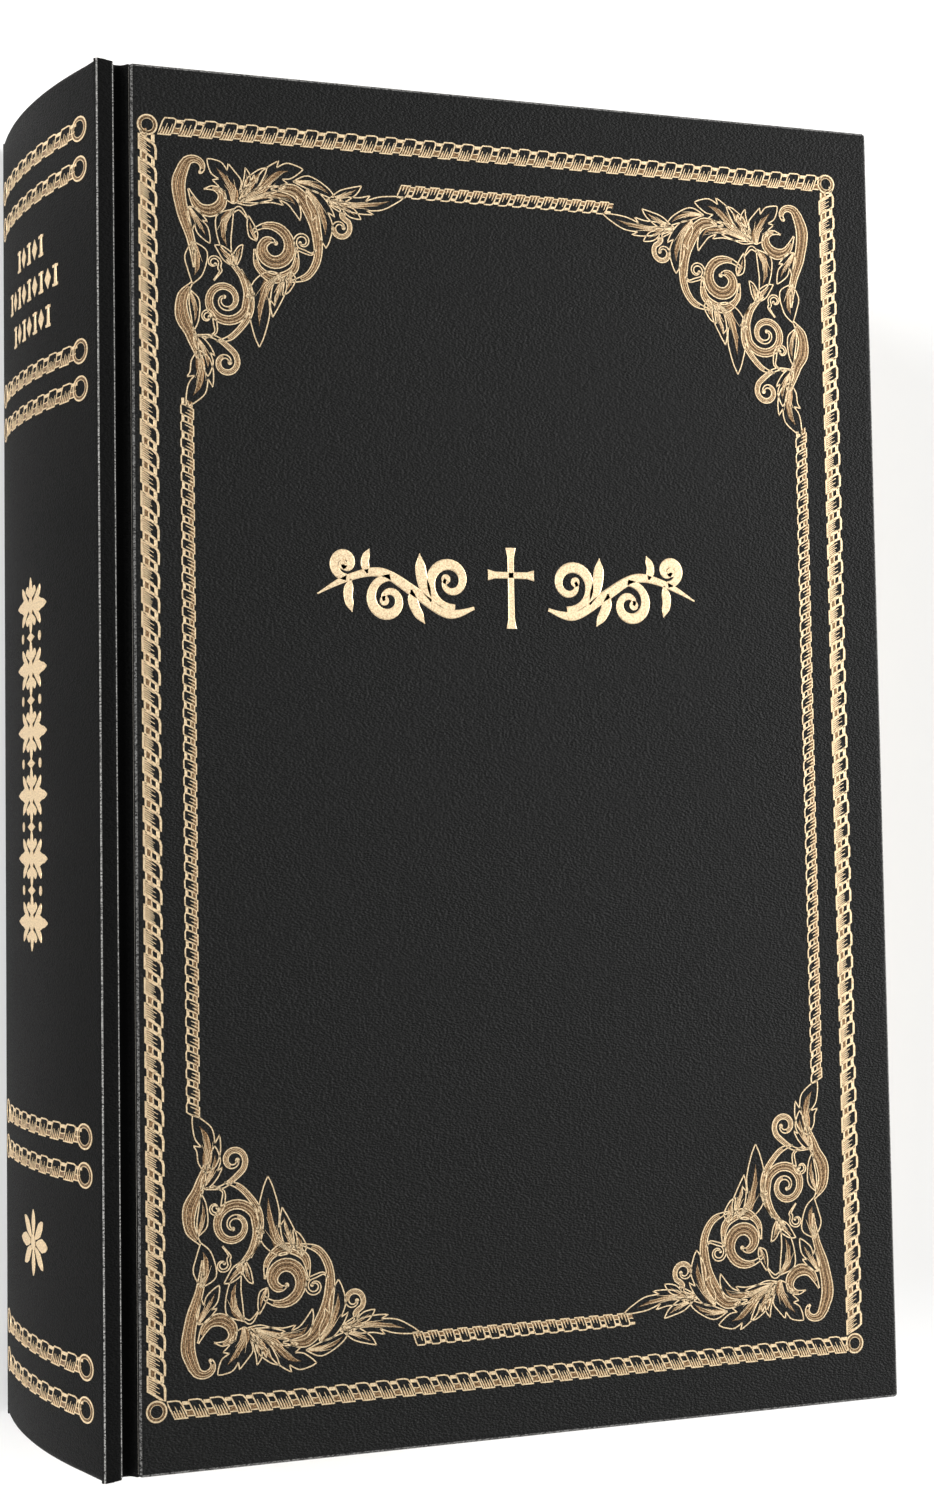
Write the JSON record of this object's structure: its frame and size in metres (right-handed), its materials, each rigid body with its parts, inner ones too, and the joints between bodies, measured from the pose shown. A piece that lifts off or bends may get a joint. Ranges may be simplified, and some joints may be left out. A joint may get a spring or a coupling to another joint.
{
  "type": "bible",
  "caption": "Thick case-bound bible in black leatherette with gold foil borders, hollow back and hinged covers, lying on its back cover.",
  "frame": {"origin": "middle of the base of the bounding box, on the surface the back cover lies on", "axes": "+X from the spine to the fore edge, +Y to the head, +Z out of the front cover"},
  "size_m": [0.1502, 0.23, 0.0636],
  "materials": {
    "leatherette": "fine grained black leatherette, satin",
    "greyboard": "bare greyboard",
    "endpaper": "heavy uncoated cream paper",
    "bible_paper": "thin uncoated bible paper with plain edges",
    "kraft": "brown kraft paper",
    "mull": "open starched cotton",
    "band_thread": "gold and black striped thread",
    "gold_foil": "hot stamped gold foil"
  },
  "bodies": {
    "back_half": {"back_board": "greyboard", "back_cover_leather": "leatherette", "back_pastedown": "endpaper", "back_joint_leather": "leatherette", "rear_flyleaf": "endpaper", "rear_gatherings_1": "bible_paper", "rear_gatherings_2": "bible_paper", "rear_gatherings_3": "bible_paper", "rear_gatherings_4": "bible_paper", "rear_gatherings_5": "bible_paper", "rear_gatherings_6": "bible_paper", "rear_gatherings_7": "bible_paper", "rear_gatherings_8": "bible_paper"},
    "spine": {"spine_leather": "leatherette", "spine_card": "greyboard", "spine_lining": "kraft", "mull_cloth": "mull", "headband": "band_thread", "tailband": "band_thread", "spine_rope_foil": "gold_foil", "spine_title_foil": "gold_foil", "spine_emblem_foil": "gold_foil", "spine_small_foil": "gold_foil"},
    "front_half": {"front_gatherings_1": "bible_paper", "front_gatherings_2": "bible_paper", "front_gatherings_3": "bible_paper", "front_gatherings_4": "bible_paper", "front_gatherings_5": "bible_paper", "front_gatherings_6": "bible_paper", "front_gatherings_7": "bible_paper", "front_gatherings_8": "bible_paper", "front_joint_leather": "leatherette", "front_endpaper_guard": "bible_paper"},
    "title_leaf": {"title_leaf": "bible_paper"},
    "front_flyleaf": {"front_flyleaf": "endpaper"},
    "front_cover": {"front_board": "greyboard", "front_cover_leather": "leatherette", "front_pastedown": "endpaper", "front_rope_foil": "gold_foil", "front_chain_foil": "gold_foil", "front_corner_foil": "gold_foil", "front_emblem_foil": "gold_foil"}
  },
  "joints": [
    {"name": "spine_fold", "type": "hinge", "parent": "back_half", "child": "spine", "pos_m": [-0.07179, 0, 0.0002], "axis": [0, 1, 0], "range_deg": [-90, 0]},
    {"name": "front_half_fold", "type": "hinge", "parent": "spine", "child": "front_half", "pos_m": [-0.07179, 0, 0.0636], "axis": [0, 1, 0], "range_deg": [-90, 0]},
    {"name": "front_cover_hinge", "type": "hinge", "parent": "front_half", "child": "front_cover", "pos_m": [-0.06714, 0, 0.0653], "axis": [0, -1, 0], "range_deg": [0, 178.5]},
    {"name": "front_flyleaf_turn", "type": "hinge", "parent": "front_half", "child": "front_flyleaf", "pos_m": [-0.06559, 0, 0.0591], "axis": [0, -1, 0], "range_deg": [0, 59.5]},
    {"name": "title_leaf_turn", "type": "hinge", "parent": "front_half", "child": "title_leaf", "pos_m": [-0.06559, 0, 0.0587], "axis": [0, -1, 0], "range_deg": [0, 35.7]}
  ],
  "couplings": [
    {"joint": "front_half_fold", "follows": "spine_fold", "ratio": 1},
    {"joint": "front_flyleaf_turn", "follows": "front_cover_hinge", "ratio": 0.33333},
    {"joint": "title_leaf_turn", "follows": "front_cover_hinge", "ratio": 0.2}
  ]
}
